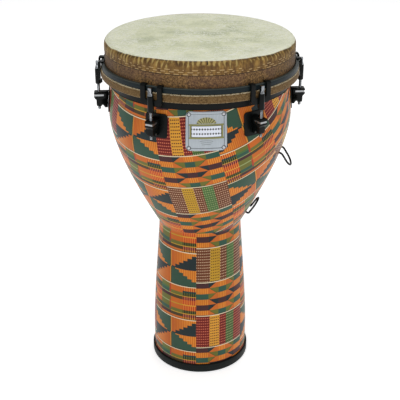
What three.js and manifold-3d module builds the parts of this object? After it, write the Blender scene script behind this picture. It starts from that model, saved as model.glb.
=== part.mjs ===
// Key-tuned goblet hand drum (djembe): a moulded fibre shell covered in printed cloth, a mounted
// head on a flesh hoop, and a counter hoop pulled down by six claws and screw rods.
//
// Millimetres, +Z up. The origin is on the drum's axis at the floor, and the badge faces -Y.
// Azimuths are measured about +Z from the badge, towards +X.

import * as THREE from 'three';
import { mergeVertices } from 'three/addons/utils/BufferGeometryUtils.js';
import Module from 'manifold-3d';

const wasm = await Module();
wasm.setup();

// ---------------------------------------------------------------- driving dimensions

const HEIGHT = 609.6; // floor to playing surface
const COLLAR_R = 158; // outside of the head's collar
const HEAD_EDGE_R = 9.4; // rounding from the playing surface into the collar
const FOOT_R = 85.9; // cloth at the foot
const WAIST_R = 73;
const WAIST_Z = 277;
const BELLY_R = 154.2; // widest part of the bowl
const BELLY_Z = 482;
const CLOTH_TOP_R = 151;
const CLOTH_TOP_Z = 532.5; // the shell is bare above this

const GAP = 0.3; // clearance between pieces that touch or are glued
const CLOTH = 0.5; // cloth thickness
const WALL = 6.5; // shell wall
const FILM = 0.6; // head film

const RING_HEIGHT = 16;
const RING_R = 89.3;
const RING_FLOOR = 4; // rubber under the shell's edge

const FLESH_HOOP = { inner: 158.3, outer: 165, bottom: 547.4, top: 561 };
const COUNTER_HOOP = { inner: 158.7, outer: 164, bottom: 561.4, top: 570.2 };

const STATIONS = 6;
const FIRST_STATION = 30; // degrees from the badge
const ROD_PITCH_R = 170.2; // drum axis to rod axis
const ROD_R = 2.6;
const ROD_BOTTOM = 486;
const CLAW_WIDTH = 37;
const CLAW_ARM = 8;
const BARREL_R = 4.8;
const BARREL_BOTTOM = 531;
const BARREL_TOP = 556.6;
const LUG_TOP = 517;
const LUG_BOTTOM = 489.6;
const PLATE = { width: 38, bottom: 484.5, top: 523.5, thickness: 1.6, corner: 5 };
const SCREW_HEIGHTS = [495, 511];

const BADGE = { size: 64, bottom: 467.3, border: 1.8, field: 1.2, rim: 5, corner: 7 };
const STRAP = { azimuth: 76, wire: 1.7, span: 29, reach: 28, standoff: 4 };

const SEGMENTS = 48; // facets around the drum
const degrees = THREE.MathUtils.degToRad;
const point = (radius, height) => new THREE.Vector2(radius, height);

// ---------------------------------------------------------------- solids

function toSolid(geometry) {
  const bare = geometry.index ? geometry.toNonIndexed() : geometry.clone();
  bare.deleteAttribute('normal');
  bare.deleteAttribute('uv');
  const merged = mergeVertices(bare, 1e-4);
  const mesh = new wasm.Mesh({
    numProp: 3,
    vertProperties: new Float32Array(merged.attributes.position.array),
    triVerts: new Uint32Array(merged.index.array),
  });
  return new wasm.Manifold(mesh);
}

function toGeometry(solid) {
  const mesh = solid.getMesh();
  const geometry = new THREE.BufferGeometry();
  geometry.setAttribute('position', new THREE.BufferAttribute(mesh.vertProperties, 3));
  geometry.setIndex(new THREE.BufferAttribute(mesh.triVerts, 1));
  return geometry;
}

const join = (...geometries) => toGeometry(geometries.map(toSolid).reduce((a, b) => a.add(b)));
const cut = (base, ...tools) => toGeometry(tools.map(toSolid).reduce((a, b) => a.subtract(b), toSolid(base)));
const common = (a, b) => toGeometry(toSolid(a).intersect(toSolid(b)));

// A solid turned about the drum's axis from (radius, height) points, listed anticlockwise.
// Its facets start at the badge, so turned pieces lie facet on facet.
function turned(points, segments = SEGMENTS) {
  const closed = points[0].x === 0 ? points : [...points, points[0]];
  return new THREE.LatheGeometry(closed, segments).rotateX(Math.PI / 2);
}

// A flat outline of (x, z) points, given depth from radius `near` outwards (towards -Y).
function plateOutwards(shape, near, depth) {
  const geometry = new THREE.ExtrudeGeometry(shape, { depth, bevelEnabled: false, curveSegments: 3 });
  return geometry.rotateX(Math.PI / 2).translate(0, -near, 0);
}

// A side view of (radius, height) points, given width across the tangent (X).
function sidePlate(points, width) {
  const shape = new THREE.Shape(points.map(([radius, height]) => point(radius, height)));
  const geometry = new THREE.ExtrudeGeometry(shape, { depth: width, bevelEnabled: false });
  const basis = new THREE.Matrix4().makeBasis(
    new THREE.Vector3(0, -1, 0),
    new THREE.Vector3(0, 0, 1),
    new THREE.Vector3(-1, 0, 0),
  );
  return geometry.applyMatrix4(basis).translate(width / 2, 0, 0);
}

function roundedRectangle(width, height, corner, centreZ = 0) {
  const x = width / 2;
  const z = height / 2;
  const shape = new THREE.Shape();
  shape.absarc(x - corner, centreZ + z - corner, corner, 0, Math.PI / 2);
  shape.absarc(corner - x, centreZ + z - corner, corner, Math.PI / 2, Math.PI);
  shape.absarc(corner - x, centreZ - z + corner, corner, Math.PI, 1.5 * Math.PI);
  shape.absarc(x - corner, centreZ - z + corner, corner, 1.5 * Math.PI, 2 * Math.PI);
  return shape;
}

// Stands a solid made along +Z on `origin`, pointing along `direction`.
function aim(geometry, origin, direction) {
  const turn = new THREE.Quaternion().setFromUnitVectors(new THREE.Vector3(0, 0, 1), direction);
  return geometry.applyQuaternion(turn).translate(origin.x, origin.y, origin.z);
}

const OUTWARDS = new THREE.Vector3(0, -1, 0);
const pin = (radius, length, sides) =>
  new THREE.CylinderGeometry(radius, radius, length, sides).rotateX(Math.PI / 2).translate(0, 0, length / 2);
const drill = (radius, x, height, near, far) =>
  aim(pin(radius, far - near, 6), new THREE.Vector3(x, -near, height), OUTWARDS);
const rotated = (geometry, azimuth) => geometry.clone().rotateZ(degrees(azimuth));
const stationAzimuth = (index) => FIRST_STATION + (index * 360) / STATIONS;

// ---------------------------------------------------------------- the goblet's outline

// Outside of the cloth, from the foot up.
function goblet() {
  const stem = new THREE.CubicBezierCurve(
    point(FOOT_R, 57), point(FOOT_R, 123), point(WAIST_R + 1, 240), point(WAIST_R, WAIST_Z));
  const bowl = new THREE.CubicBezierCurve(
    point(WAIST_R, WAIST_Z), point(WAIST_R + 2, WAIST_Z + 4), point(BELLY_R, 414.5), point(BELLY_R, BELLY_Z));
  const shoulder = new THREE.CubicBezierCurve(
    point(BELLY_R, BELLY_Z), point(BELLY_R, 500), point(CLOTH_TOP_R, 512), point(CLOTH_TOP_R, CLOTH_TOP_Z));
  return [
    point(FOOT_R, RING_FLOOR + GAP),
    ...stem.getPoints(3),
    ...bowl.getPoints(5).slice(1),
    ...shoulder.getPoints(2).slice(1),
  ];
}

// The same outline moved inwards, square to itself.
function inset(outline, distance) {
  return outline.map((here, index) => {
    const before = outline[Math.max(index - 1, 0)];
    const after = outline[Math.min(index + 1, outline.length - 1)];
    const along = after.clone().sub(before).normalize();
    const end = index === 0 || index === outline.length - 1;
    return end ? point(here.x - distance, here.y) : point(here.x - distance * along.y, here.y + distance * along.x);
  });
}

const surface = goblet();
const shellSurface = inset(surface, CLOTH + GAP);
const shellInside = inset(surface, CLOTH + GAP + WALL);

// Radius of an outline at a height, along its straight facets.
function radiusAt(outline, height) {
  const upper = outline.findIndex((corner) => corner.y >= height);
  const [low, high] = [outline[upper - 1], outline[upper]];
  return low.x + ((high.x - low.x) * (height - low.y)) / (high.y - low.y);
}

// A skin of the goblet's surface between two clearances outside the cloth and two heights.
function skin(inner, outer, bottom, top) {
  const rows = [bottom, ...surface.map((corner) => corner.y).filter((z) => z > bottom + 1 && z < top - 1), top];
  const layer = (clearance) => rows.map((z) => point(radiusAt(surface, z) + clearance, z));
  return turned([...layer(outer), ...layer(inner).reverse()]);
}

// ---------------------------------------------------------------- shell, cloth and foot

const SCREW_R = 2;
const SCREW_HOLE_R = 2.4;
const RIVET = { hole: 1.9, shank: 1.5, head: 2.6, spread: 27.2, depth: 4 };
const WIRE_HOLE_R = STRAP.wire + 0.35;

function stationHoles() {
  const holes = [];
  for (let index = 0; index < STATIONS; index += 1) {
    for (const height of SCREW_HEIGHTS) {
      holes.push(rotated(drill(SCREW_HOLE_R, 0, height, 140, 158), stationAzimuth(index)));
    }
  }
  return holes;
}

function rivetPlaces() {
  const middle = BADGE.bottom + BADGE.size / 2;
  const places = [];
  for (const x of [-RIVET.spread, RIVET.spread]) {
    for (const z of [-RIVET.spread, RIVET.spread]) {
      places.push({ azimuth: THREE.MathUtils.radToDeg(x / radiusAt(surface, middle)), height: middle + z });
    }
  }
  return places;
}

function rivetHoles() {
  return rivetPlaces().map(({ azimuth, height }) => {
    const outside = radiusAt(surface, height);
    return rotated(drill(RIVET.hole, 0, height, outside - RIVET.depth - 0.5, outside + 4), azimuth);
  });
}

function shell() {
  const rim = [
    point(149.7, 603), point(148.6, 607), point(146.6, 608.6), point(144.7, 607), point(143.2, 600),
  ];
  const body = turned([...shellSurface, ...rim, ...[...shellInside].reverse()]);
  return cut(body, ...stationHoles(), ...rivetHoles(), ...strapHoles());
}

function cloth() {
  const body = turned([...surface, ...inset(surface, CLOTH).reverse()]);
  return cut(body, ...stationHoles(), ...rivetHoles(), ...strapHoles());
}

function footRing() {
  const seat = FOOT_R + GAP;
  return turned([
    point(74, 0), point(RING_R - 1.5, 0), point(RING_R, 1.5), point(RING_R, RING_HEIGHT - 1.2),
    point(RING_R - 1.2, RING_HEIGHT), point(seat, RING_HEIGHT), point(seat, RING_FLOOR), point(74, RING_FLOOR),
  ]);
}

// ---------------------------------------------------------------- head and hoops

// Film, its pleated upper skirt and the plain collar below, as one moulded piece.
function drumhead() {
  const bend = point(COLLAR_R - HEAD_EDGE_R, HEIGHT - HEAD_EDGE_R);
  const corner = (radius, angle) =>
    point(bend.x + radius * Math.cos(degrees(angle)), bend.y + radius * Math.sin(degrees(angle)));
  const skirtBottom = 589.4;
  const step = 0.4;
  const collarBottom = 550;
  const outside = [0, 30, 60, 90].map((angle) => corner(HEAD_EDGE_R, angle));
  const underside = [90, 0].map((angle) => corner(HEAD_EDGE_R - FILM - step, angle));
  return turned([
    point(0, HEIGHT - FILM - step),
    ...underside,
    point(COLLAR_R - FILM - step, collarBottom),
    point(COLLAR_R - step, collarBottom),
    point(COLLAR_R - step, skirtBottom),
    point(COLLAR_R, skirtBottom),
    ...outside,
    point(0, HEIGHT),
  ]);
}

function hoop({ inner, outer, bottom, top }, bevel) {
  return turned([
    point(inner, bottom), point(outer - bevel, bottom), point(outer, bottom + bevel),
    point(outer, top - bevel), point(outer - bevel, top), point(inner, top),
  ]);
}

// ---------------------------------------------------------------- one tuning station
// Made facing the badge: X runs along the hoop and -Y points outwards.

const CLAW_NEAR = 165.4; // back of the claw, clear of the flesh hoop
const CLAW_FAR = 168.8;
const CLAW_BOTTOM = 540.4;
const CLAW_SHOULDER = 566;

function clawFront() {
  const x = CLAW_WIDTH / 2;
  const inside = x - CLAW_ARM;
  const webTop = 549.5;
  const outer = 7;
  const inner = 3;
  const shape = new THREE.Shape();
  shape.moveTo(-x, CLAW_SHOULDER);
  shape.absarc(outer - x, CLAW_BOTTOM + outer, outer, Math.PI, 1.5 * Math.PI);
  shape.absarc(x - outer, CLAW_BOTTOM + outer, outer, 1.5 * Math.PI, 2 * Math.PI);
  shape.lineTo(x, CLAW_SHOULDER);
  shape.lineTo(inside, CLAW_SHOULDER);
  shape.absarc(inside - inner, webTop + inner, inner, 0, -Math.PI / 2, true);
  shape.absarc(inner - inside, webTop + inner, inner, -Math.PI / 2, -Math.PI, true);
  shape.lineTo(-inside, CLAW_SHOULDER);
  return plateOutwards(shape, CLAW_NEAR, CLAW_FAR - CLAW_NEAR);
}

function clawHook(side) {
  const over = COUNTER_HOOP.top + 0.4;
  const hook = sidePlate([
    [CLAW_NEAR, CLAW_SHOULDER - 1], [CLAW_FAR, CLAW_SHOULDER - 1], [CLAW_FAR, 569.6], [167.4, 572.4],
    [165, 573.8], [161, 573.8], [159.2, 572.8], [159.2, over], [164.8, over], [CLAW_NEAR, 569.8],
  ], CLAW_ARM);
  return hook.translate((side * (CLAW_WIDTH - CLAW_ARM)) / 2, 0, 0);
}

function claw() {
  const barrel = pin(BARREL_R, BARREL_TOP - BARREL_BOTTOM, 10).translate(0, -ROD_PITCH_R, BARREL_BOTTOM);
  const heel = new THREE.BoxGeometry(6, 5, 6).translate(0, -165.6, 535.6);
  const bore = pin(ROD_R + 0.5, 40, 8).translate(0, -ROD_PITCH_R, BARREL_BOTTOM - 5);
  return cut(join(clawFront(), clawHook(-1), clawHook(1), barrel, heel), bore);
}

// Square-headed screw rod with a conical collar that bears on the claw's barrel.
function tensionRod() {
  const seat = BARREL_TOP + GAP;
  const coneTop = seat + 5.4;
  const headTop = seat + 12.6;
  const headSize = 5.6;
  const shank = turned([
    point(0, ROD_BOTTOM), point(ROD_R - 0.6, ROD_BOTTOM), point(ROD_R, ROD_BOTTOM + 1), point(ROD_R, seat),
    point(4.4, seat), point(4.4, seat + 1.4), point(3.2, coneTop), point(0, coneTop),
  ], 10);
  const head = new THREE.BoxGeometry(headSize, headSize, headTop - coneTop + 1);
  return join(shank, head.translate(0, 0, (headTop + coneTop - 1) / 2));
}

const SLOT = { bottom: 509.6, top: 513.2, depth: 161.6 };

// Cast bracket: a top flange over a slot that holds the nut, and a boss around the rod's end.
function lug() {
  const outer = 178.2;
  const back = 150;
  const upper = sidePlate([
    [back, LUG_TOP], [back, 503.4], [174.6, 503.4], [outer, 507.6], [outer, SLOT.bottom],
    [SLOT.depth, SLOT.bottom], [SLOT.depth, SLOT.top], [outer, SLOT.top], [outer, LUG_TOP - 0.8],
    [outer - 0.8, LUG_TOP],
  ], 13.5);
  const lower = sidePlate([
    [back, 505], [back, LUG_BOTTOM], [160.6, LUG_BOTTOM], [163.2, 493.8], [165.2, 494.6], [165.9, 492.4],
    [174, 492.4], [174.6, 496], [174.6, 505],
  ], 10.4);
  const bore = pin(ROD_R + 0.5, 60, 8).translate(0, -ROD_PITCH_R, 470);
  const seat = toSolid(skin(-30, PLATE.thickness + 2 * GAP, 470, 530));
  const block = toSolid(join(upper, lower)).subtract(seat);
  const holes = SCREW_HEIGHTS.map((height) => drill(SCREW_R + 0.35, 0, height, 150, 160.8));
  return cut(toGeometry(block), bore, ...holes);
}

function lugNut() {
  const width = 11.8;
  const near = SLOT.depth + 0.4;
  const length = 15;
  const body = new THREE.BoxGeometry(width, length, SLOT.top - SLOT.bottom - 2 * GAP);
  const middle = (SLOT.top + SLOT.bottom) / 2;
  const thread = pin(ROD_R + 0.5, 10, 8).translate(0, -ROD_PITCH_R, middle - 5);
  return cut(body.translate(0, -(near + length / 2), middle), thread);
}

function lugPlate() {
  const layer = skin(GAP, GAP + PLATE.thickness, PLATE.bottom, PLATE.top);
  const height = PLATE.top - PLATE.bottom;
  const outline = roundedRectangle(PLATE.width, height, PLATE.corner, PLATE.bottom + height / 2);
  const blank = common(layer, plateOutwards(outline, 145, 20));
  return cut(blank, ...SCREW_HEIGHTS.map((z) => drill(SCREW_HOLE_R, 0, z, 140, 162)));
}

function lugScrew() {
  const head = 2.6;
  const length = 16.6;
  return turned([
    point(0, 0), point(3, 0), point(4, 1), point(4, head), point(SCREW_R, head), point(SCREW_R, length),
    point(0, length),
  ], 6);
}

// ---------------------------------------------------------------- badge

function badge() {
  const { size, bottom, border, field, rim, corner } = BADGE;
  const middle = bottom + size / 2;
  const top = bottom + size;
  const plate = common(
    skin(GAP, GAP + border, bottom, top),
    plateOutwards(roundedRectangle(size, size, corner, middle), 145, 20));
  const panel = roundedRectangle(size - 2 * rim, size - 2 * rim, corner - 3, middle);
  const recess = common(skin(GAP + field, GAP + border + 3, bottom, top), plateOutwards(panel, 145, 20));
  return cut(plate, recess, ...rivetHoles());
}

function rivet() {
  const under = RIVET.depth + GAP + BADGE.border + GAP;
  return turned([
    point(0, 0), point(RIVET.shank, 0), point(RIVET.shank, under), point(RIVET.head, under),
    point(RIVET.head * 0.7, under + 1), point(0, under + 1.3),
  ], 6);
}

// ---------------------------------------------------------------- strap loops

// Stiff wire loop: both legs pass square through the wall, then bend over and meet in a half circle.
const STRAP_LOOPS = [
  { name: 'upper', height: 417, lean: 32, rise: -1 },
  { name: 'lower', height: 300, lean: 33, rise: 1 },
];

function strapFrame({ height, lean, rise }) {
  const slope = (radiusAt(surface, height + 5) - radiusAt(surface, height - 5)) / 10;
  const outwards = new THREE.Vector3(0, -1, -slope).normalize();
  const foot = new THREE.Vector3(0, -radiusAt(surface, height), height);
  const along = new THREE.Vector3(0, -Math.sin(degrees(lean)), rise * Math.cos(degrees(lean)));
  return { foot, outwards, along };
}

function strapHoles() {
  const holes = [];
  for (const loop of STRAP_LOOPS) {
    const { foot, outwards } = strapFrame(loop);
    for (const side of [-1, 1]) {
      const start = foot.clone().addScaledVector(outwards, -14);
      start.x = (side * STRAP.span) / 2;
      holes.push(rotated(aim(pin(WIRE_HOLE_R, 20, 6), start, outwards), STRAP.azimuth));
    }
  }
  return holes;
}

function strapLoop(loop) {
  const { foot, outwards, along } = strapFrame(loop);
  const half = STRAP.span / 2;
  const at = (x, out, reach) =>
    foot.clone().addScaledVector(outwards, out).addScaledVector(along, reach).setX(x);
  const straight = STRAP.reach - half;
  const leg = (side) => [
    at(side * half, -15, 0), at(side * half, -4, 0), at(side * half, STRAP.standoff - 2, 0),
    at(side * half, STRAP.standoff, 2), at(side * half, STRAP.standoff, straight),
  ];
  const bend = [30, 60, 90, 120, 150].map((angle) =>
    at(-half * Math.cos(degrees(angle)), STRAP.standoff, straight + half * Math.sin(degrees(angle))));
  const path = new THREE.CatmullRomCurve3([...leg(-1), ...bend, ...leg(1).reverse()], false, 'centripetal');
  const section = new THREE.Shape().absarc(0, 0, STRAP.wire, 0, 2 * Math.PI);
  return new THREE.ExtrudeGeometry(section, { steps: 28, curveSegments: 3, extrudePath: path });
}

const STRAP_NUT = { radius: 3.6, height: 2.8 };

function strapNut() {
  const body = pin(STRAP_NUT.radius, STRAP_NUT.height, 6);
  return cut(body, pin(STRAP.wire + GAP, STRAP_NUT.height + 2, 6).translate(0, 0, -1));
}

// ---------------------------------------------------------------- materials

const material = (color, roughness, metalness) =>
  new THREE.MeshStandardMaterial({ color, roughness, metalness });

const MATERIALS = {
  shell: material(0x4a3526, 0.7, 0),
  cloth: material(0xb0602c, 0.45, 0),
  rubber: material(0x1b1d1c, 0.75, 0),
  film: material(0xe3e4c6, 0.6, 0),
  wrap: material(0x8a6d43, 0.8, 0),
  black: material(0x17191b, 0.4, 0.3),
  chrome: material(0xd6d8da, 0.15, 1),
  steel: material(0xb4b6b8, 0.35, 1),
  badge: material(0xc9cdd2, 0.35, 0.9),
};

// ---------------------------------------------------------------- assembly

const djembe = new THREE.Group();

function place(parent, name, geometry, look, position = [0, 0, 0]) {
  const mesh = new THREE.Mesh(geometry, look);
  mesh.name = name;
  mesh.position.set(...position);
  parent.add(mesh);
  return mesh;
}

place(djembe, 'shell', shell(), MATERIALS.shell);
place(djembe, 'cloth_wrap', cloth(), MATERIALS.cloth);
place(djembe, 'foot_ring', footRing(), MATERIALS.rubber);
place(djembe, 'drumhead', drumhead(), MATERIALS.film);
place(djembe, 'flesh_hoop', hoop(FLESH_HOOP, 2), MATERIALS.wrap);
place(djembe, 'counter_hoop', hoop(COUNTER_HOOP, 0.8), MATERIALS.black);

const stationShapes = {
  claw: claw(), rod: tensionRod(), lug: lug(), nut: lugNut(), plate: lugPlate(), screw: lugScrew(),
};

for (let index = 0; index < STATIONS; index += 1) {
  const station = new THREE.Group();
  const number = index + 1;
  station.rotation.z = degrees(stationAzimuth(index));
  djembe.add(station);
  place(station, `claw_${number}`, stationShapes.claw, MATERIALS.black);
  place(station, `tension_rod_${number}`, stationShapes.rod, MATERIALS.chrome, [0, -ROD_PITCH_R, 0]);
  place(station, `lug_${number}`, stationShapes.lug, MATERIALS.black);
  place(station, `lug_nut_${number}`, stationShapes.nut, MATERIALS.steel);
  place(station, `lug_plate_${number}`, stationShapes.plate, MATERIALS.black);
  SCREW_HEIGHTS.forEach((height, row) => {
    const near = radiusAt(shellInside, height) - 3.2;
    const name = `lug_screw_${number}_${row === 0 ? 'lower' : 'upper'}`;
    const screw = place(station, name, stationShapes.screw, MATERIALS.steel, [0, -near, height]);
    screw.rotation.x = Math.PI / 2;
  });
}

place(djembe, 'badge', badge(), MATERIALS.badge);
const rivetShape = rivet();
rivetPlaces().forEach(({ azimuth, height }, index) => {
  const arm = new THREE.Group();
  arm.rotation.z = degrees(azimuth);
  djembe.add(arm);
  const near = radiusAt(surface, height) - RIVET.depth;
  const mesh = place(arm, `badge_rivet_${index + 1}`, rivetShape, MATERIALS.steel, [0, -near, height]);
  mesh.rotation.x = Math.PI / 2;
});

const strapSide = new THREE.Group();
strapSide.rotation.z = degrees(STRAP.azimuth);
djembe.add(strapSide);
for (const loop of STRAP_LOOPS) {
  place(strapSide, `strap_loop_${loop.name}`, strapLoop(loop), MATERIALS.black);
  const { foot, outwards } = strapFrame(loop);
  const edge = STRAP.span / 2 + STRAP_NUT.radius;
  const sagitta = edge ** 2 / (2 * radiusAt(shellInside, loop.height));
  const inside = CLOTH + GAP + WALL + 0.5 + sagitta + STRAP_NUT.height;
  [-1, 1].forEach((side) => {
    const seat = foot.clone().addScaledVector(outwards, -inside);
    const name = `strap_nut_${loop.name}_${side < 0 ? 'left' : 'right'}`;
    const nut = place(strapSide, name, strapNut(), MATERIALS.steel, [(side * STRAP.span) / 2, seat.y, seat.z]);
    nut.quaternion.setFromUnitVectors(new THREE.Vector3(0, 0, 1), outwards);
  });
}

export default djembe;
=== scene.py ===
"""Looks for the djembe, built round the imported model.

Lengths are in millimetres until a mesh is made. Azimuths are about +Z, from the badge towards +X.
A station is one of the six tuning stations: in its own frame x runs along the hoop, r outwards and z up.
"""

import math

import bmesh
import bpy
from mathutils import Matrix, Vector

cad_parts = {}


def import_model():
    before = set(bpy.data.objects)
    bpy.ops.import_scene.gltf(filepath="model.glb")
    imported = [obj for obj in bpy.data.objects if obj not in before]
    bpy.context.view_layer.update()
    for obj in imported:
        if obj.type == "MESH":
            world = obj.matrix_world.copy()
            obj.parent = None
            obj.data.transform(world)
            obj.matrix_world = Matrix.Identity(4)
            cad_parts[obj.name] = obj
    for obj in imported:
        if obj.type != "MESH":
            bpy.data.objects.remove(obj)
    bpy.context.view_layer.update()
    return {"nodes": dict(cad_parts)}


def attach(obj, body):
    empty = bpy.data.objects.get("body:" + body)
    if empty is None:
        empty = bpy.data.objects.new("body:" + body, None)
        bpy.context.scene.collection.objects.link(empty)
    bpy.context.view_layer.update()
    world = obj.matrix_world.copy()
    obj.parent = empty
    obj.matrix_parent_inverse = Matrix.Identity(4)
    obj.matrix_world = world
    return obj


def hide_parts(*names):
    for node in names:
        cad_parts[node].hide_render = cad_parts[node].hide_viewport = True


MM = 0.001

# ---- sizes, as in part.mjs

HEIGHT = 609.6  # floor to playing surface
COLLAR_R = 158.0  # outside of the head's collar
HEAD_EDGE_R = 9.4  # rounding from the playing surface into the collar
SKIRT_BOTTOM = 589.4
COLLAR_BOTTOM = 550.0
COLLAR_STEP = 0.4
FILM = 0.6
FOOT_R = 85.9  # cloth at the foot
WAIST_R = 73.0
WAIST_Z = 277.0
BELLY_R = 154.2  # widest part of the bowl
BELLY_Z = 482.0
CLOTH_TOP_R = 151.0
CLOTH_TOP_Z = 532.5
CLOTH_BOTTOM_Z = 4.3
CLOTH = 0.5
GAP = 0.3  # clearance between pieces that touch or are glued
WALL = 6.5
RING_R = 89.3
RING_HEIGHT = 16.0
RING_FLOOR = 4.0
FLESH_HOOP = (158.3, 165.0, 547.4, 561.0)  # inner and outer radius, bottom and top
COUNTER_HOOP = (158.7, 164.0, 561.4, 570.2)
ROD_PITCH_R = 170.2  # drum axis to rod axis
ROD_R = 2.6
ROD_HOLE_R = ROD_R + 0.5
ROD_BOTTOM = 486.0
BARREL_R = 4.8
BARREL_TOP = 556.6
BARREL_BOTTOM = 531.0
THREAD_PITCH = 25.4 / 24
THREAD_TOP = 540.0
THREAD_DEPTH = 0.5
STATION_AZIMUTHS = range(30, 360, 60)
LUG_PLATE_Z = 504.0
PLATE_THICKNESS = 1.6
BADGE_HALF = 32.0
BADGE_Z = 467.3 + BADGE_HALF
RIVET_SPREAD = 27.2
STRAP_AZIMUTH = 76
STRAP_WIRE = 1.7
STRAP_SPAN = 29.0
STRAP_REACH = 28.0
STRAP_STANDOFF = 4.0

# ---- shader graphs


def srgb(red, green, blue):
    """A colour given as 0 to 255 in sRGB, as a linear RGBA tuple."""

    def linear(value):
        value /= 255
        return value / 12.92 if value <= 0.04045 else ((value + 0.055) / 1.055) ** 2.4

    return linear(red), linear(green), linear(blue), 1.0


def binary(operation, reflected=False):
    """A method that puts a math node between a field and another value."""

    def method(self, other):
        values = (other, self) if reflected else (self, other)
        return self.graph.math(operation, *values)

    return method


def unary(operation):
    """A method that puts a math node after a field."""
    return lambda self: self.graph.math(operation, self)


class Field:
    """A shader value that takes ordinary arithmetic."""

    def __init__(self, graph, socket):
        self.graph = graph
        self.socket = socket

    __add__ = binary("ADD")
    __radd__ = binary("ADD", reflected=True)
    __sub__ = binary("SUBTRACT")
    __rsub__ = binary("SUBTRACT", reflected=True)
    __mul__ = binary("MULTIPLY")
    __rmul__ = binary("MULTIPLY", reflected=True)
    __truediv__ = binary("DIVIDE")
    __mod__ = binary("FLOORED_MODULO")
    __lt__ = binary("LESS_THAN")
    __gt__ = binary("GREATER_THAN")
    __abs__ = unary("ABSOLUTE")
    floor = unary("FLOOR")
    sine = unary("SINE")
    larger = binary("MAXIMUM")

    def clamped(self, low=0.0, high=1.0):
        return self.graph.math("MINIMUM", self.larger(low), high)

    def centred(self, period):
        """Distance from the nearest multiple of period, with its sign."""
        return (self + period / 2) % period - period / 2


class Graph:
    """A material whose nodes are written as formulas."""

    def __init__(self, name):
        self.material = bpy.data.materials.new(name)
        self.material.use_nodes = True
        self.nodes = self.material.node_tree.nodes
        self.links = self.material.node_tree.links
        self.shader = self.nodes["Principled BSDF"]

    def plug(self, socket, value):
        """Links a field or a socket, or sets a constant on the socket itself."""
        if isinstance(value, Field):
            self.links.new(value.socket, socket)
        elif isinstance(value, bpy.types.NodeSocket):
            self.links.new(value, socket)
        else:
            socket.default_value = value

    def add(self, kind, **inputs):
        node = self.nodes.new(kind)
        for name, value in inputs.items():
            self.plug(node.inputs[name.replace("_", " ")], value)
        return node

    def math(self, operation, *values):
        node = self.nodes.new("ShaderNodeMath")
        node.operation = operation
        for socket, value in zip(node.inputs, values):
            self.plug(socket, value)
        return Field(self, node.outputs[0])

    def mix(self, factor, first, second):
        """The first colour where the factor is 0, the second where it is 1."""
        node = self.nodes.new("ShaderNodeMix")
        node.data_type = "RGBA"
        self.plug(node.inputs[0], factor)
        self.plug(node.inputs[6], first)
        self.plug(node.inputs[7], second)
        return node.outputs[2]

    def ramp(self, field, stops, interpolation):
        node = self.nodes.new("ShaderNodeValToRGB")
        node.color_ramp.interpolation = interpolation
        points = node.color_ramp.elements
        while len(points) < len(stops):
            points.new(0.5)
        for point, (place, colour) in zip(points, stops):
            point.position = place
            point.color = colour
        self.plug(node.inputs[0], field)
        return node.outputs[0]

    def bands(self, field, span, stops):
        """Flat bands of colour over 0 to span. Stops are (where it starts, colour)."""
        stops = [(start / span, colour) for start, colour in stops]
        return self.ramp(field / span, stops, "CONSTANT")

    def blend(self, field, *stops):
        """Colours that run into each other over 0 to 1. Stops are (place, colour)."""
        return self.ramp(field, stops, "LINEAR")

    def noise(self, scale, detail=3.0, roughness=0.5, stretch=None, distortion=0.0):
        """Noise from 0 to 1 in the object's own space, with scale in features per metre."""
        vector = self.nodes.new("ShaderNodeTexCoord").outputs["Object"]
        if stretch:
            mapping = self.add("ShaderNodeMapping", Vector=vector, Scale=stretch)
            vector = mapping.outputs[0]
        node = self.add("ShaderNodeTexNoise", Vector=vector, Scale=scale, Detail=detail)
        node.inputs["Roughness"].default_value = roughness
        node.inputs["Distortion"].default_value = distortion
        return Field(self, node.outputs[0])

    def split(self, vector):
        node = self.add("ShaderNodeSeparateXYZ", Vector=vector)
        return [Field(self, output) for output in node.outputs]

    def position(self):
        """x, y and z in metres, for a piece that stands at the origin."""
        return self.split(self.nodes.new("ShaderNodeTexCoord").outputs["Object"])

    def uv(self):
        """Place on the piece's own flat map."""
        node = self.nodes.new("ShaderNodeUVMap")
        node.uv_map = "flat"
        return self.split(node.outputs[0])[:2]

    def bump(self, height, depth, strength):
        node = self.add("ShaderNodeBump", Height=height, Distance=depth * MM, Strength=strength)
        self.plug(self.shader.inputs["Normal"], node.outputs[0])

    def finish(self, colour, roughness, **others):
        self.plug(self.shader.inputs["Base Color"], colour)
        self.plug(self.shader.inputs["Roughness"], roughness)
        for name, value in others.items():
            self.plug(self.shader.inputs[name.replace("_", " ")], value)
        return self.material


# ---- the printed cloth

STRIP = 198.0  # one strip of dotted columns and one of pinwheels
DOTTED = 98.0
PINWHEEL = STRIP - DOTTED
COURSE = 66.5  # height of a block course, and of the narrow rows between
PINWHEEL_DROP = 10.0  # the pinwheels' strip is printed this much lower
STRIPE_PITCH = 3.4
STRIPE_HALF_WIDTH = 0.92
DOT_PITCH_UP = 5.4
BOAT_ROWS = 6
STEP_WIDTH = 8.0  # one step of a pinwheel's quarter
STEP_RISE = 5.0
WEAVE_PITCH = 0.9

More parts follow.
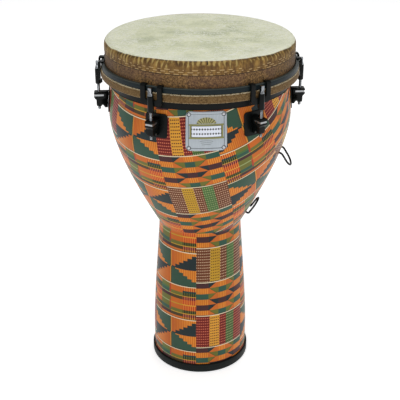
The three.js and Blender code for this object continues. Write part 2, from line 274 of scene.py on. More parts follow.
CREAM = srgb(238, 220, 184)
TAN = srgb(212, 174, 136)
ORANGE = srgb(202, 102, 26)
DEEP_ORANGE = srgb(186, 84, 22)
BRIGHT_ORANGE = srgb(226, 142, 46)
SALMON = srgb(204, 106, 36)
GOLD = srgb(196, 150, 40)
PALE_GOLD = srgb(224, 158, 52)
RUST = srgb(104, 54, 30)
BROWN = srgb(66, 40, 10)
MAROON = srgb(112, 24, 20)
DARK_MAROON = srgb(70, 22, 24)
RED = srgb(190, 42, 22)
PINK = srgb(208, 108, 76)
LEAF = srgb(72, 108, 56)
MOSS = srgb(66, 94, 46)
PALE_GREEN = srgb(152, 164, 104)
OLIVE = srgb(108, 108, 42)
DARK_OLIVE = srgb(72, 60, 32)
TEAL = srgb(48, 86, 70)
GREEN = srgb(50, 80, 62)
CHARCOAL = srgb(30, 44, 46)
PLUM = srgb(70, 38, 40)
INK = srgb(16, 18, 16)

# Where each dotted column starts, its ground and its dots, in the two kinds of dotted block.
DOTTED_COLUMNS = [
    (0, RUST, TAN, MAROON, PINK),
    (24.5, GOLD, BROWN, PALE_GOLD, DARK_MAROON),
    (43, RUST, TAN, MAROON, PINK),
    (57, LEAF, PALE_GREEN, MOSS, PALE_GREEN),
    (75, RUST, TAN, MAROON, PINK),
]

# Where each band starts, its colours right and left of the middle, and its bars and gaps at the sides.
BANDS = [
    (0, SALMON, SALMON, MAROON, PALE_GOLD),
    (5.5, DARK_OLIVE, PLUM, INK, PINK),
    (11.5, GOLD, OLIVE, GOLD, PALE_GOLD),
    (13, OLIVE, TEAL, INK, OLIVE),
    (19.5, ORANGE, OLIVE, RED, BRIGHT_ORANGE),
    (29, GOLD, PALE_GREEN, PALE_GOLD, PALE_GOLD),
    (31, ORANGE, OLIVE, RED, BRIGHT_ORANGE),
    (40.5, DARK_OLIVE, PLUM, DARK_MAROON, PINK),
    (46.5, GOLD, PALE_GREEN, GOLD, PALE_GOLD),
    (48, OLIVE, TEAL, INK, OLIVE),
    (54.5, ORANGE, LEAF, CHARCOAL, TEAL),
    (58, ORANGE, OLIVE, RED, PALE_GOLD),
]


def pinstripes(graph, x):
    stripe = abs(x.centred(STRIPE_PITCH)) < STRIPE_HALF_WIDTH
    return graph.mix(stripe, ORANGE, BRIGHT_ORANGE)


def dotted_block(graph, x, y, second_kind):
    """Five columns of woven dots. The second kind is redder, with slightly larger dots."""

    def columns(index):
        return graph.bands(x, DOTTED, [(column[0], column[index]) for column in DOTTED_COLUMNS])

    ground = graph.mix(second_kind, columns(1), columns(3))
    spots = graph.mix(second_kind, columns(2), columns(4))
    across = x.centred(STRIPE_PITCH)
    up = (y - 2.0).centred(DOT_PITCH_UP)
    reach = 1.0 + 0.12 * second_kind
    dot = (across * across + up * up) < reach * reach
    return graph.mix(dot, ground, spots)


def boats(graph, x, y):
    """Three interlocking columns of pointed hexagons, with every second one in stripes."""
    row_height = COURSE / BOAT_ROWS
    rows = y / row_height
    zigzag = 1 - abs(rows % 2 - 1)
    from_middle = abs(x - DOTTED / 2)
    edge = 12 + 14 * zigzag
    inner = from_middle < edge
    far_side = x > DOTTED / 2

    def column(*colours):
        stops = [(index * row_height, colour) for index, colour in enumerate(colours)]
        return graph.bands(y, COURSE, stops)

    left = column(INK, PLUM, INK, TEAL, INK, PLUM)
    right = column(INK, TEAL, INK, PLUM, INK, TEAL)
    middle = column(TEAL, INK, PLUM, INK, TEAL, INK)
    left_tip = column(SALMON, CHARCOAL, SALMON, OLIVE, SALMON, CHARCOAL)
    right_tip = column(SALMON, OLIVE, SALMON, CHARCOAL, SALMON, OLIVE)
    middle_tip = column(OLIVE, SALMON, CHARCOAL, SALMON, OLIVE, SALMON)

    outer_core = from_middle > 27
    inner_core = from_middle < 8
    tips = graph.mix(far_side, left_tip, right_tip)
    cores = graph.mix(far_side, left, right)
    outer = graph.mix(outer_core, tips, cores)
    centre = graph.mix(inner_core, middle_tip, middle)
    shape = graph.mix(inner, outer, centre)
    striped_row = (rows.floor() + inner) % 2 < 0.5
    core = (outer_core * (1 - inner)).larger(inner_core * inner)
    shape = graph.mix(striped_row * core, shape, pinstripes(graph, x))
    outline = abs(from_middle - edge) < 0.8
    return graph.mix(outline * (1 - striped_row) * 0.8, shape, INK)


def pinwheel_block(graph, x, y):
    """Four stepped quarters. Turning the block half a turn gives the same block."""
    from_middle = x - PINWHEEL / 2
    side = 2 * (from_middle > 0) - 1
    across = abs(from_middle)
    up = (y - COURSE / 2) * side
    upper = up > 0
    step = ((across - 2) / STEP_WIDTH).floor() * STEP_RISE
    dark_steps = (up < step + STEP_RISE / 2) * (across > 2)
    orange_steps = up > 3 - step
    stripes = pinstripes(graph, x)
    fade = (across / 40 + 0.15).clamped()
    top = graph.mix(dark_steps, graph.mix(fade, DEEP_ORANGE, stripes), CHARCOAL)
    bottom = graph.mix(orange_steps, GREEN, stripes)
    block = graph.mix(upper, bottom, top)
    spine = graph.mix(upper, DARK_OLIVE, PALE_GOLD)
    return graph.mix((across < 1.8) * 0.7, block, spine)


def banded_rows(graph, x, y):
    """Rows of bands between the pinwheels: plain near the middle, barred towards the sides."""

    def rows(index):
        return graph.bands(y, COURSE, [(band[0], band[index]) for band in BANDS])

    from_middle = x - PINWHEEL / 2
    stagger = (y > 30) * (STRIPE_PITCH / 2)
    barred = abs((x + stagger).centred(STRIPE_PITCH)) < 1.0
    sides = graph.mix(barred, rows(4), rows(3))
    centre = graph.mix(from_middle < 0, rows(1), rows(2))
    accent = (abs(from_middle + 1.5) < 1.6) * (abs((y - 24).centred(33)) < 9)
    centre = graph.mix(accent * 0.8, centre, RED)
    return graph.mix(abs(from_middle) > PINWHEEL / 4, centre, sides)


def cloth_material():
    """Printed cloth under clear lacquer. Its flat map is in millimetres on the sheet."""
    graph = Graph("kente_cloth")
    u, v = graph.uv()
    x = u % STRIP
    dotted = x < DOTTED
    height = v + (1 - dotted) * PINWHEEL_DROP
    y = height % (2 * COURSE)
    second_kind = (height / (2 * COURSE)).floor() % 2
    row_y = y - COURSE
    pinwheel_x = x - DOTTED
    pinwheels = pinwheel_block(graph, pinwheel_x, y)
    blocks = graph.mix(dotted, pinwheels, dotted_block(graph, x, y, second_kind))
    rows = graph.mix(dotted, banded_rows(graph, pinwheel_x, row_y), boats(graph, x, row_y))
    colour = graph.mix(y < COURSE, rows, blocks)
    to_line = y.centred(COURSE)
    shadow = abs(to_line - 1.4) < 0.6
    colour = graph.mix(shadow * 0.7, colour, INK)
    colour = graph.mix(abs(to_line) < 0.75, colour, CREAM)
    wear = graph.noise(28, detail=4)
    colour = graph.mix(wear * wear * 0.35, colour, INK)
    threads_per_mm = 2 * math.pi / WEAVE_PITCH
    weave = (u * threads_per_mm).sine() * (v * threads_per_mm).sine()
    graph.bump(weave + wear * 0.5, 0.03, 0.35)
    return graph.finish(
        colour, 0.5, Specular_IOR_Level=0.12, Coat_Weight=0.22, Coat_Roughness=0.08, Coat_IOR=1.4
    )


# ---- the film of the head

# Path lengths along the film, from the head's axis outwards and then down.
FOLD_START = COLLAR_R - HEAD_EDGE_R
FOLD_END = FOLD_START + HEAD_EDGE_R * math.pi / 2
SKIRT_END = FOLD_END + HEIGHT - HEAD_EDGE_R - SKIRT_BOTTOM
CREAM_END = FOLD_START - 2.37
FOLD_HIGHLIGHT_START = 95.0
FOLD_HIGHLIGHT_WIDTH = 60.0

ROUND = 2 * math.pi * COLLAR_R  # length round the collar
PLEATS = 72
STITCH_PITCH = ROUND / 72
STITCH_ROW_PITCH = 3.3
STITCHES_START = SKIRT_END - 3 * STITCH_ROW_PITCH
FINGER_PITCH = ROUND / 120
SEAM_AT = 1.0


def film_top(graph, down):
    """Cream film with clouds, pale and dark fibres, and a painted highlight: a paler band towards the
    fold.
    """
    cream = graph.blend(
        graph.noise(26, 5, 0.62),
        (0.34, srgb(190, 197, 152)),
        (0.5, srgb(222, 226, 181)),
        (0.66, srgb(242, 244, 204)),
    )
    # Painted highlight: the cream turns paler over a band towards the fold.
    fold_highlight = ((down - FOLD_HIGHLIGHT_START) / FOLD_HIGHLIGHT_WIDTH).clamped()
    cream = graph.mix(fold_highlight * 0.75, cream, srgb(253, 254, 224))
    fibres = graph.noise(60, 5, 0.6, stretch=(1, 1.7, 1), distortion=1.8)
    pale_fibre = abs(fibres - 0.5) < 0.03
    thick = graph.noise(14, 2) > 0.42
    cream = graph.mix(pale_fibre * (0.35 + thick * 0.5), cream, srgb(253, 254, 238))
    fibres = graph.noise(48, 4, 0.6, stretch=(1.5, 1, 1), distortion=2.2)
    dark_fibre = abs(fibres - 0.47) < 0.02
    return graph.mix(dark_fibre * 0.3, cream, srgb(184, 190, 150))


def add_stitches(graph, skirt, around, down):
    """Broken rows of stitches, each with its shadow, above the skirt's lower edge."""
    row = (down - STITCHES_START) / STITCH_ROW_PITCH
    stagger = row.floor() % 2 * (STITCH_PITCH / 2)
    across = (around + stagger + graph.noise(40, 2) * 9).centred(STITCH_PITCH)
    from_row = (row - row.floor() - 0.5) * STITCH_ROW_PITCH
    in_rows = (down > STITCHES_START) * (down < SKIRT_END)
    unbroken = graph.noise(110, 2) > 0.45
    shadow = (abs(across) < 4.2) * (abs(from_row - 1.0) < 0.5) * in_rows
    stitch = (abs(across) < 3.9) * (abs(from_row) < 0.65) * in_rows * unbroken
    skirt = graph.mix(shadow * 0.4, skirt, srgb(52, 34, 16))
    return graph.mix(stitch * 0.75, skirt, srgb(228, 194, 134))


def add_fingers(graph, skirt, around, fall):
    """Pale fingers that hang down from the cream, and dark notches between some of them."""
    width = graph.noise(70, 2) * 7.0 - 1.6
    reach = graph.noise(40, 2) * 24 + 1
    wander = around + graph.noise(24, 2) * 22
    finger = ((width - abs(wander.centred(FINGER_PITCH))) / 1.6).clamped()
    fade = ((reach - fall) / 4.0).clamped()
    skirt = graph.mix(finger * fade * 0.8, skirt, srgb(208, 180, 108))
    notch = (fall < 4.2) * (1 - finger) * (graph.noise(45, 1) > 0.5)
    return graph.mix(notch * 0.45, skirt, srgb(56, 50, 20))


def film_skirt(graph, pleats, around, down, fall, side):
    """Pleated brown skirt, darker downwards, with painted shade at the drum's two sides."""
    skirt = graph.blend(
        pleats, (0.3, srgb(74, 48, 24)), (0.5, srgb(126, 94, 46)), (0.66, srgb(176, 138, 70))
    )
    skirt = add_stitches(graph, skirt, around, down)
    skirt = add_fingers(graph, skirt, around, fall)
    skirt = graph.mix((fall / 20).clamped() * 0.3, skirt, srgb(84, 54, 28))
    # Painted shade: the skirt is darkened towards the drum's two sides.
    return graph.mix(side * 0.4, skirt, srgb(60, 44, 18))


def film_collar(graph, side):
    """Speckled brown collar with faint plum patches, and painted shade at the drum's two sides."""
    collar = graph.blend(
        graph.noise(340, 5, 0.85),
        (0.38, srgb(40, 28, 16)),
        (0.5, srgb(110, 80, 44)),
        (0.62, srgb(168, 130, 78)),
    )
    plum = ((graph.noise(24, 3) - 0.46) * 3.5).clamped(0.0, 0.3)
    collar = graph.mix(plum, collar, srgb(92, 62, 56))
    # Painted shade: the collar is darkened towards the drum's two sides.
    return graph.mix(side * 0.4, collar, srgb(52, 44, 26))


def film_material():
    """One sheet of film, printed: cream on top, a brown skirt over the fold, then the collar."""
    graph = Graph("head_film")
    around, down = graph.uv()
    turn = around / COLLAR_R
    side = turn.sine() * turn.sine()
    fall = down - (CREAM_END + side * 9.0 + graph.noise(55, 2) * 4.0)
    pleats = graph.noise(1.0, 4, 0.65, stretch=(150, 150, 55))
    below_cream = (fall / 1.6 + 0.5).clamped()
    skirt = film_skirt(graph, pleats, around, down, fall, side)
    colour = graph.mix(below_cream, film_top(graph, down), skirt)
    colour = graph.mix(down > SKIRT_END, colour, film_collar(graph, side))
    step = abs(down - SKIRT_END) < 0.7
    colour = graph.mix(step * 0.85, colour, srgb(34, 24, 14))
    seam = (abs(around - SEAM_AT) < 1.1) * (abs(fall - 3.5) < 5.0)
    colour = graph.mix(seam * 0.9, colour, INK)
    graph.bump(graph.noise(420, 3) + pleats * below_cream * 2, 0.14, 0.45)
    return graph.finish(colour, 0.4 + below_cream * 0.28, Specular_IOR_Level=0.3)


# ---- other materials

HOOP_CORNER = 0.9
WRAP_TOP_EDGE = 1.3
WRAP_BOTTOM_EDGE = 1.2
SHELL_INSIDE_R = 146.2  # of the rim: the black band ends here


def wrap_material():
    """Fibre hoop with pale, worn upper and lower edges."""
    graph = Graph("hoop_wrap")
    fibres = graph.noise(1.0, 5, 0.75, stretch=(420, 420, 380))
    colour = graph.blend(
        fibres, (0.3, srgb(62, 44, 22)), (0.5, srgb(104, 80, 48)), (0.72, srgb(146, 120, 78))
    )
    _x, _y, height = graph.position()
    top = height > (FLESH_HOOP[3] - WRAP_TOP_EDGE) * MM
    bottom = height < (FLESH_HOOP[2] + WRAP_BOTTOM_EDGE) * MM
    worn = graph.noise(380, 3, 0.7) > 0.46
    colour = graph.mix(top * worn * 0.85, colour, srgb(206, 192, 160))
    colour = graph.mix(bottom * worn * 0.45, colour, srgb(188, 170, 132))
    graph.bump(fibres, 0.2, 0.5)
    return graph.finish(colour, 0.65, Specular_IOR_Level=0.15)


def painted_material(name, colour, roughness, specular):
    """Black or dark paint with a slight orange peel."""
    graph = Graph(name)
    peel = graph.noise(260, 2)
    tone = graph.mix(peel * 0.15, colour, srgb(40, 44, 44))
    graph.bump(peel, 0.04, 0.3)
    return graph.finish(tone, roughness, Specular_IOR_Level=specular)


def hoop_material():
    """Slate-black powder coat, with a painted highlight along the upper edge."""
    graph = Graph("hoop_black")
    peel = graph.noise(260, 2)
    tone = graph.mix(peel * 0.15, srgb(20, 31, 34), srgb(48, 56, 58))
    _x, _y, height = graph.position()
    # Painted highlight: a lighter line along the upper edge, where the rounded corner catches the light.
    edge = height > (COUNTER_HOOP[3] - HOOP_CORNER) * MM
    tone = graph.mix(edge * 0.7, tone, srgb(78, 84, 80))
    graph.bump(peel, 0.04, 0.3)
    return graph.finish(tone, 0.42, Specular_IOR_Level=0.14)


def metal_material(name, colour, roughness):
    """Plain metal, a little uneven in tone and gloss."""
    graph = Graph(name)
    wear = graph.noise(300, 3, 0.6)
    tone = graph.mix(wear * 0.2, colour, srgb(120, 120, 122))
    graph.bump(wear, 0.01, 0.3)
    return graph.finish(tone, wear * 0.12 + roughness, Metallic=1.0)


def rubber_material():
    """Black rubber with fine grain and a little dust."""
    graph = Graph("foot_rubber")
    dust = graph.noise(40, 4, 0.6)
    colour = graph.mix(dust * 0.15, srgb(13, 18, 17), srgb(52, 58, 55))
    graph.bump(graph.noise(900, 2), 0.05, 0.4)
    return graph.finish(colour, 0.5, Specular_IOR_Level=0.12)


def shell_material():
    """Bare fibre board inside, black on the band above the cloth."""
    graph = Graph("shell_board")
    x, y, height = graph.position()
    radius = graph.math("SQRT", x * x + y * y)
    # Black over the band above the cloth's top edge, outside the rim's inner face.
    black_band = (height > (CLOTH_TOP_Z - 2) * MM) * (radius > SHELL_INSIDE_R * MM)
    board = graph.blend(
        graph.noise(90, 5, 0.7),
        (0.3, srgb(62, 46, 32)),
        (0.55, srgb(88, 66, 46)),
        (0.75, srgb(112, 88, 62)),
    )
    colour = graph.mix(black_band, board, srgb(11, 13, 13))
    graph.bump(graph.noise(500, 3), 0.15, 0.3)
    return graph.finish(colour, 0.85 - black_band * 0.5, Specular_IOR_Level=0.15)


# ---- the badge's print

BADGE_LIP = 27.6  # half the width of the thin square line
RIVET_SEAT_R = 3.6
FRAME_HALF_WIDTH = 1.4
FRAME_AT = (24.5, 10.5)  # middle of the olive frame's bars, across and up
FRAME_REACH = (27.0, 11.0)
PANEL = (22.6, 8.4)  # half width and half height
PANEL_BORDER = 0.8
DIAMOND_PITCH = (4.2, 7.2)
FAN_BOTTOM = 12.5
FAN_HALF_WIDTH = 15.17
FAN_RIB_PITCH = 0.28  # radians
FLOURISH_PITCH = 3.2
FLOURISH_TOP = -13.5
FLOURISH_BOTTOM = -22.5


def add_badge_lines(graph, colour, across, up):
    """A thin square line near the rim, and a dark ring round each rivet."""
    lip = abs(across.larger(up) - BADGE_LIP) < 0.45
    colour = graph.mix(lip * 0.75, colour, srgb(52, 56, 56))
    to_rivet_x = across - RIVET_SPREAD
    to_rivet_z = up - RIVET_SPREAD
    seat = (to_rivet_x * to_rivet_x + to_rivet_z * to_rivet_z) < RIVET_SEAT_R * RIVET_SEAT_R
    return graph.mix(seat * 0.85, colour, srgb(48, 52, 52))


def add_badge_panel(graph, colour, u, v):
    """An olive frame round a pale panel with two rows of small diamonds."""
    across = abs(u)
    up = abs(v)
    bars = (across < FRAME_REACH[0]) * (abs(up - FRAME_AT[1]) < FRAME_HALF_WIDTH)
    ends = (up < FRAME_REACH[1]) * (abs(across - FRAME_AT[0]) < FRAME_HALF_WIDTH)
    colour = graph.mix(bars.larger(ends), colour, srgb(134, 132, 84))
    panel = (across < PANEL[0]) * (up < PANEL[1])
    colour = graph.mix(panel, colour, srgb(226, 230, 240))
    border = (across < PANEL[0] + PANEL_BORDER) * (up < PANEL[1] + PANEL_BORDER) * (1 - panel)
    colour = graph.mix(border * 0.8, colour, srgb(54, 56, 48))
    pitch_x, pitch_z = DIAMOND_PITCH
    from_centre_x = abs((u + pitch_x / 2).centred(pitch_x))
    from_centre_z = abs((v - pitch_z / 2).centred(pitch_z))
    diamond = from_centre_x + from_centre_z < 1.9
    return graph.mix(diamond * panel * 0.9, colour, srgb(40, 42, 38))


def add_badge_fan(graph, colour, u, v):
    """A ribbed half-oval fan above the panel."""
    rise = v - FAN_BOTTOM
    fan = (u * u + rise * rise * 2.2 < FAN_HALF_WIDTH**2) * (v > FAN_BOTTOM + 0.1)
    bearing = graph.math("ARCTAN2", u, rise + 6)
    ribs = abs(bearing.centred(FAN_RIB_PITCH)) < 0.045
    fan_colour = graph.mix(ribs, srgb(160, 156, 106), srgb(70, 70, 50))
    return graph.mix(fan, colour, fan_colour)


def add_badge_flourish(graph, colour, u, v):
    """A few curved lines below the panel, shorter downwards."""
    sweep = v + 14.6 + u * u * 0.012
    line = abs(sweep.centred(FLOURISH_PITCH)) < 0.35
    within = (v < FLOURISH_TOP) * (v > FLOURISH_BOTTOM) * (abs(u) < 19 + v * 0.55)
    return graph.mix(line * within * 0.8, colour, srgb(74, 78, 72))


def badge_material():
    """Brushed silver plate with a plain pattern. It says nothing."""
    graph = Graph("badge_plate")
    u, v = graph.uv()
    brushed = graph.noise(1.0, 3, 0.6, stretch=(900, 900, 60))
    colour = graph.mix(brushed * 0.6, srgb(186, 194, 200), srgb(122, 130, 138))
    colour = add_badge_lines(graph, colour, abs(u), abs(v))
    colour = add_badge_panel(graph, colour, u, v)
    colour = add_badge_fan(graph, colour, u, v)
    colour = add_badge_flourish(graph, colour, u, v)
    graph.bump(brushed, 0.02, 0.3)
    return graph.finish(colour, 0.38, Metallic=0.55)


# ---- outlines


def path_lengths(outline):
    """Length along the outline at each of its points."""
    lengths = [0.0]
    for (r0, z0), (r1, z1) in zip(outline, outline[1:]):
        lengths.append(lengths[-1] + math.hypot(r1 - r0, z1 - z0))
    return lengths


def bezier(start, lead, follow, end, count):
    """Points of a cubic curve, after its start and up to its end."""
    points = []
    for index in range(1, count + 1):
        t = index / count
        weights = ((1 - t) ** 3, 3 * t * (1 - t) ** 2, 3 * t * t * (1 - t), t ** 3)
        weighted = list(zip(weights, (start, lead, follow, end)))
        radius = sum(weight * point[0] for weight, point in weighted)
        height = sum(weight * point[1] for weight, point in weighted)
        points.append((radius, height))
    return points


def arc(centre, radius, start, end, count):
    """Points of an arc, with its angles in degrees."""
    points = []
    for index in range(count + 1):
        angle = math.radians(start + (end - start) * index / count)
        points.append((centre[0] + radius * math.cos(angle), centre[1] + radius * math.sin(angle)))
    return points


def rounded_rectangle(left, right, bottom, top, corner, count=4):
    """A rectangle with rounded corners, anticlockwise."""
    centres = [
        (right - corner, top - corner),
        (left + corner, top - corner),
        (left + corner, bottom + corner),
        (right - corner, bottom + corner),
    ]
    points = []
    for quarter, centre in enumerate(centres):
        points += arc(centre, corner, 90 * quarter, 90 * quarter + 90, count)
    return points


def subdivided(outline, longest):
    """The same closed outline with no side longer than this."""
    fine = []
    for (x0, z0), (x1, z1) in zip(outline, outline[1:] + outline[:1]):
        parts = max(1, math.ceil(math.hypot(x1 - x0, z1 - z0) / longest))
        fine += [(x0 + (x1 - x0) * k / parts, z0 + (z1 - z0) * k / parts) for k in range(parts)]
    return fine


def inset(outline, distance):
    """The outline moved inwards, square to itself."""
    moved = []
    last = len(outline) - 1
    for index, (radius, height) in enumerate(outline):
        r0, z0 = outline[max(index - 1, 0)]
        r1, z1 = outline[min(index + 1, last)]
        share = distance / math.hypot(r1 - r0, z1 - z0)
        if index in (0, last):
            moved.append((radius - distance, height))
        else:
            moved.append((radius - share * (z1 - z0), height + share * (r1 - r0)))
    return moved


def goblet():
    """Outside of the cloth, as (radius, height) from the foot up."""
    foot = (FOOT_R, CLOTH_BOTTOM_Z)
    stem_start = (FOOT_R, 57.0)
    waist = (WAIST_R, WAIST_Z)
    belly = (BELLY_R, BELLY_Z)
    top = (CLOTH_TOP_R, CLOTH_TOP_Z)
    points = [foot, stem_start]
    points += bezier(stem_start, (FOOT_R, 123), (WAIST_R + 1, 240), waist, 28)
    points += bezier(waist, (WAIST_R + 2, WAIST_Z + 4), (BELLY_R, 414.5), belly, 34)
    points += bezier(belly, (BELLY_R, 500), (CLOTH_TOP_R, 512), top, 8)
    return points


SURFACE = goblet()
SURFACE_LENGTHS = path_lengths(SURFACE)


def surface_radius(height):
    for (r0, z0), (r1, z1) in zip(SURFACE, SURFACE[1:]):
        if z0 <= height <= z1:
            return r0 + (r1 - r0) * (height - z0) / (z1 - z0)
    return CLOTH_TOP_R


# ---- flat maps

# The stem's sheet is unrolled round the stem, and the bowl's like a cone about its apex.
SHEET_JOIN = 279.0  # path length from the foot where the two sheets meet
CONE_APEX = 42.0  # path length of the apex
CONE_TURN = 0.35  # turn on the flat sheet for each turn round the drum
CONE_CENTRE = math.radians(-35)  # azimuth where the print stands upright
CONE_ORIGIN = (14.0, 290.0)
STEM_TURN = math.radians(8.5)
STEM_ORIGIN = 180.5


def print_map(azimuth, length, face_length):
    """Where a point of the goblet lies on the printed cloth. face_length picks the sheet."""
    if face_length > SHEET_JOIN:
        reach = length - CONE_APEX
        turn = CONE_TURN * (azimuth - CONE_CENTRE)
        return reach * math.sin(turn) - CONE_ORIGIN[0], reach * math.cos(turn) - CONE_ORIGIN[1]
    index = min(range(len(SURFACE)), key=lambda i: abs(SURFACE_LENGTHS[i] - length))
    return SURFACE[index][0] * (azimuth + STEM_TURN), length - STEM_ORIGIN


def head_map(azimuth, length, _face_length):
    """Millimetres round the collar from the badge's side, and along the film from its middle."""
    return azimuth * COLLAR_R, length


def plain_map(azimuth, length, _face_length):
    return math.degrees(azimuth), length


# ---- meshes


def new_object(name, bm, smooth_angle=32):
    """Makes an object of a bmesh that is in metres, smooth but for edges sharper than the angle."""
    bmesh.ops.recalc_face_normals(bm, faces=bm.faces)
    mesh = bpy.data.meshes.new(name)
    bm.to_mesh(mesh)
    bm.free()
    for face in mesh.polygons:
        face.use_smooth = True
    mesh.set_sharp_from_angle(angle=math.radians(smooth_angle))
    thing = bpy.data.objects.new(name, mesh)
    bpy.context.scene.collection.objects.link(thing)
    return thing


def unshifted(_azimuth, _length):
    return 0.0


def lathe(name, profile, segments, flat_map=plain_map, shift=unshifted, axis_y=0.0, smooth_angle=32):
    """Turns a closed outline of (radius, height) about a vertical axis.

    shift adds to the radius, by azimuth and length along the outline. flat_map gives the place on
    the flat map by the same two and the length at the middle of the face.
    """
    bm = bmesh.new()
    layer = bm.loops.layers.uv.new("flat")
    lengths = path_lengths(profile + profile[:1])

    def azimuth_of(step):
        return 2 * math.pi * step / segments - math.pi

    rings = []
    for (radius, height), length in zip(profile, lengths):
        ring = []
        for step in range(segments):
            azimuth = azimuth_of(step)
            reach = radius + shift(azimuth, length)
            x = reach * math.sin(azimuth)
            y = axis_y - reach * math.cos(azimuth)
            ring.append(bm.verts.new((x * MM, y * MM, height * MM)))
        rings.append(ring)

    for row in range(len(profile)):
        lower = rings[row]
        upper = rings[(row + 1) % len(profile)]
        middle = (lengths[row] + lengths[row + 1]) / 2
        for step in range(segments):
            other = (step + 1) % segments
            face = bm.faces.new([lower[step], lower[other], upper[other], upper[step]])
            corners = [(row, step), (row, step + 1), (row + 1, step + 1), (row + 1, step)]
            for loop, (i, j) in zip(face.loops, corners):
                loop[layer].uv = flat_map(azimuth_of(j), lengths[i], middle)
    bmesh.ops.remove_doubles(bm, verts=bm.verts, dist=1e-6)
    return new_object(name, bm, smooth_angle)


def bridge(bm, rings):
    """Joins each ring of vertices to the next, and closes both ends."""
    for lower, upper in zip(rings, rings[1:]):
        for index in range(len(lower)):
            other = (index + 1) % len(lower)
            bm.faces.new([lower[index], lower[other], upper[other], upper[index]])
    bm.faces.new(rings[-1])
    bm.faces.new(list(reversed(rings[0])))


def station_vector(x, r, z):
    """A point in a station's own frame, in metres at the badge's azimuth."""
    return Vector((x * MM, -r * MM, z * MM))


def prism(name, outline, axis, near, far):
    """A closed prism along x, r or z of a station's frame. Its outline is in the other two."""
    bm = bmesh.new()
    rings = []
    for depth in (near, far):
        ring = []
        for spot in outline:
            point = list(spot)
            point.insert("xrz".index(axis), depth)
            ring.append(bm.verts.new(station_vector(*point)))
        rings.append(ring)
    bridge(bm, rings)
    return new_object(name, bm)


def apply_modifiers(thing):
    graph = bpy.context.evaluated_depsgraph_get()
    mesh = bpy.data.meshes.new_from_object(thing.evaluated_get(graph))
    thing.modifiers.clear()
    thing.data = mesh


def combine(base, others, operation):
    """Joins the others to the base, or cuts them out of it. The others are used up."""
    for other in others:
        modifier = base.modifiers.new("join", "BOOLEAN")
        modifier.object = other
        modifier.operation = operation
        modifier.solver = "EXACT"
        apply_modifiers(base)
        bpy.data.objects.remove(other)
    return base


def soften(thing, width):
    """Rounds the sharp edges."""
    modifier = thing.modifiers.new("edges", "BEVEL")
    modifier.width = width * MM
    modifier.segments = 3
    modifier.limit_method = "ANGLE"
    modifier.angle_limit = math.radians(35)
    apply_modifiers(thing)
    for face in thing.data.polygons:
        face.use_smooth = True
    thing.data.set_sharp_from_angle(angle=math.radians(50))
    return thing


def curved_plate(name, half_x, half_z, corner, rings, centre_z):
    """A rounded plate bent round the goblet.

    Rings are (inset, clearance from the cloth), from the edge of the back to the middle of the front.
    """
    bm = bmesh.new()
    layer = bm.loops.layers.uv.new("flat")
    outline = rounded_rectangle(-half_x, half_x, -half_z, half_z, corner, 6)
    outline = subdivided(outline, 5)
    loops = []
    spots = {}
    for inset_by, clearance in rings:
        ring = []
        for x, z in outline:
            x *= (half_x - inset_by) / half_x
            z *= (half_z - inset_by) / half_z
            radius = surface_radius(centre_z + z) + clearance
            turn = x / surface_radius(centre_z)
            point = station_vector(radius * math.sin(turn), radius * math.cos(turn), centre_z + z)
            vert = bm.verts.new(point)
            spots[vert] = (x, z)
            ring.append(vert)
        loops.append(ring)
    bridge(bm, loops)
    for face in bm.faces:
        for loop in face.loops:
            loop[layer].uv = spots[loop.vert]
    return new_object(name, bm)


def tube(name, points, radius):
    """A closed tube along points in metres, with flat ends."""
    bm = bmesh.new()
    sides = 14
    normal = Vector((0, 0, 1))
    rings = []
    for index, point in enumerate(points):
        before = points[max(index - 1, 0)]
        after = points[min(index + 1, len(points) - 1)]
        along = (after - before).normalized()
        normal = (normal - along * normal.dot(along)).normalized()
        side = along.cross(normal)
        ring = []
        for step in range(sides):
            angle = 2 * math.pi * step / sides
            outwards = normal * math.cos(angle) + side * math.sin(angle)
            ring.append(bm.verts.new(point + outwards * radius * MM))
        rings.append(ring)
    bridge(bm, rings)
    return new_object(name, bm)


# ---- pieces


def dress(thing, material, body, node):
    """Gives a piece its material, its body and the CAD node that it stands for."""
    thing.data.materials.clear()
    thing.data.materials.append(material)
    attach(thing, body)
    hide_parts(node)


def head_profile():
    """The film's top from the axis, over the fold and down the collar, then back inside."""
    fold_centre = (FOLD_START, HEIGHT - HEAD_EDGE_R)
    outside = COLLAR_R - COLLAR_STEP
    inside = outside - FILM
    underside = HEIGHT - FILM - COLLAR_STEP
    profile = [(radius, HEIGHT) for radius in (0, 30, 60, 90, 115, 132, 142)]
    profile += arc(fold_centre, HEAD_EDGE_R, 90, 0, 12)
    profile += [(COLLAR_R, height) for height in (597, 594, 591.5, SKIRT_BOTTOM + 0.5)]
    profile += [(outside, height) for height in (SKIRT_BOTTOM, 586, 580, 574, 568, 560, COLLAR_BOTTOM)]
    profile += [(inside, COLLAR_BOTTOM), (inside, HEIGHT - HEAD_EDGE_R)]
    profile += arc(fold_centre, HEAD_EDGE_R - FILM - COLLAR_STEP, 0, 90, 6)
    return profile + [(0, underside)]


def pleat_shift(azimuth, length):
    """Soft vertical pleats, drawn inwards only, deepest half way down the skirt."""
    if length < FOLD_START or length > SKIRT_END + 1:
        return 0.0
    way = min(1.0, (length - FOLD_START) / (SKIRT_END - FOLD_START + 6))
    depth = 0.45 * math.sin(math.pi * way)
    wave = math.sin(PLEATS * azimuth) + 0.5 * math.sin(47 * azimuth + 1)
    return -depth * (0.5 + 0.33 * wave)


def make_head(material):
    head = lathe("head_film", head_profile(), 432, head_map, pleat_shift)
    dress(head, material, "drum", "drumhead")


def make_cloth(material):
    profile = SURFACE + list(reversed(inset(SURFACE, CLOTH)))
    cloth = lathe("kente_wrap", profile, 240, print_map)
    dress(cloth, material, "drum", "cloth_wrap")


def make_shell(material):
    """The goblet inside the cloth, with its bare rim and rounded bearing edge."""
    outside = inset(SURFACE, CLOTH + GAP)
    inside = inset(SURFACE, CLOTH + GAP + WALL)
    rim = [(149.7, 540), (149.7, 603), (149.3, 606)]
    rim += arc((146.6, 605.6), 3.0, 35, 150, 5)
    rim += [(143.2, 600)]
    shell = lathe("goblet_shell", outside + rim + list(reversed(inside)), 144)
    dress(shell, material, "drum", "shell")


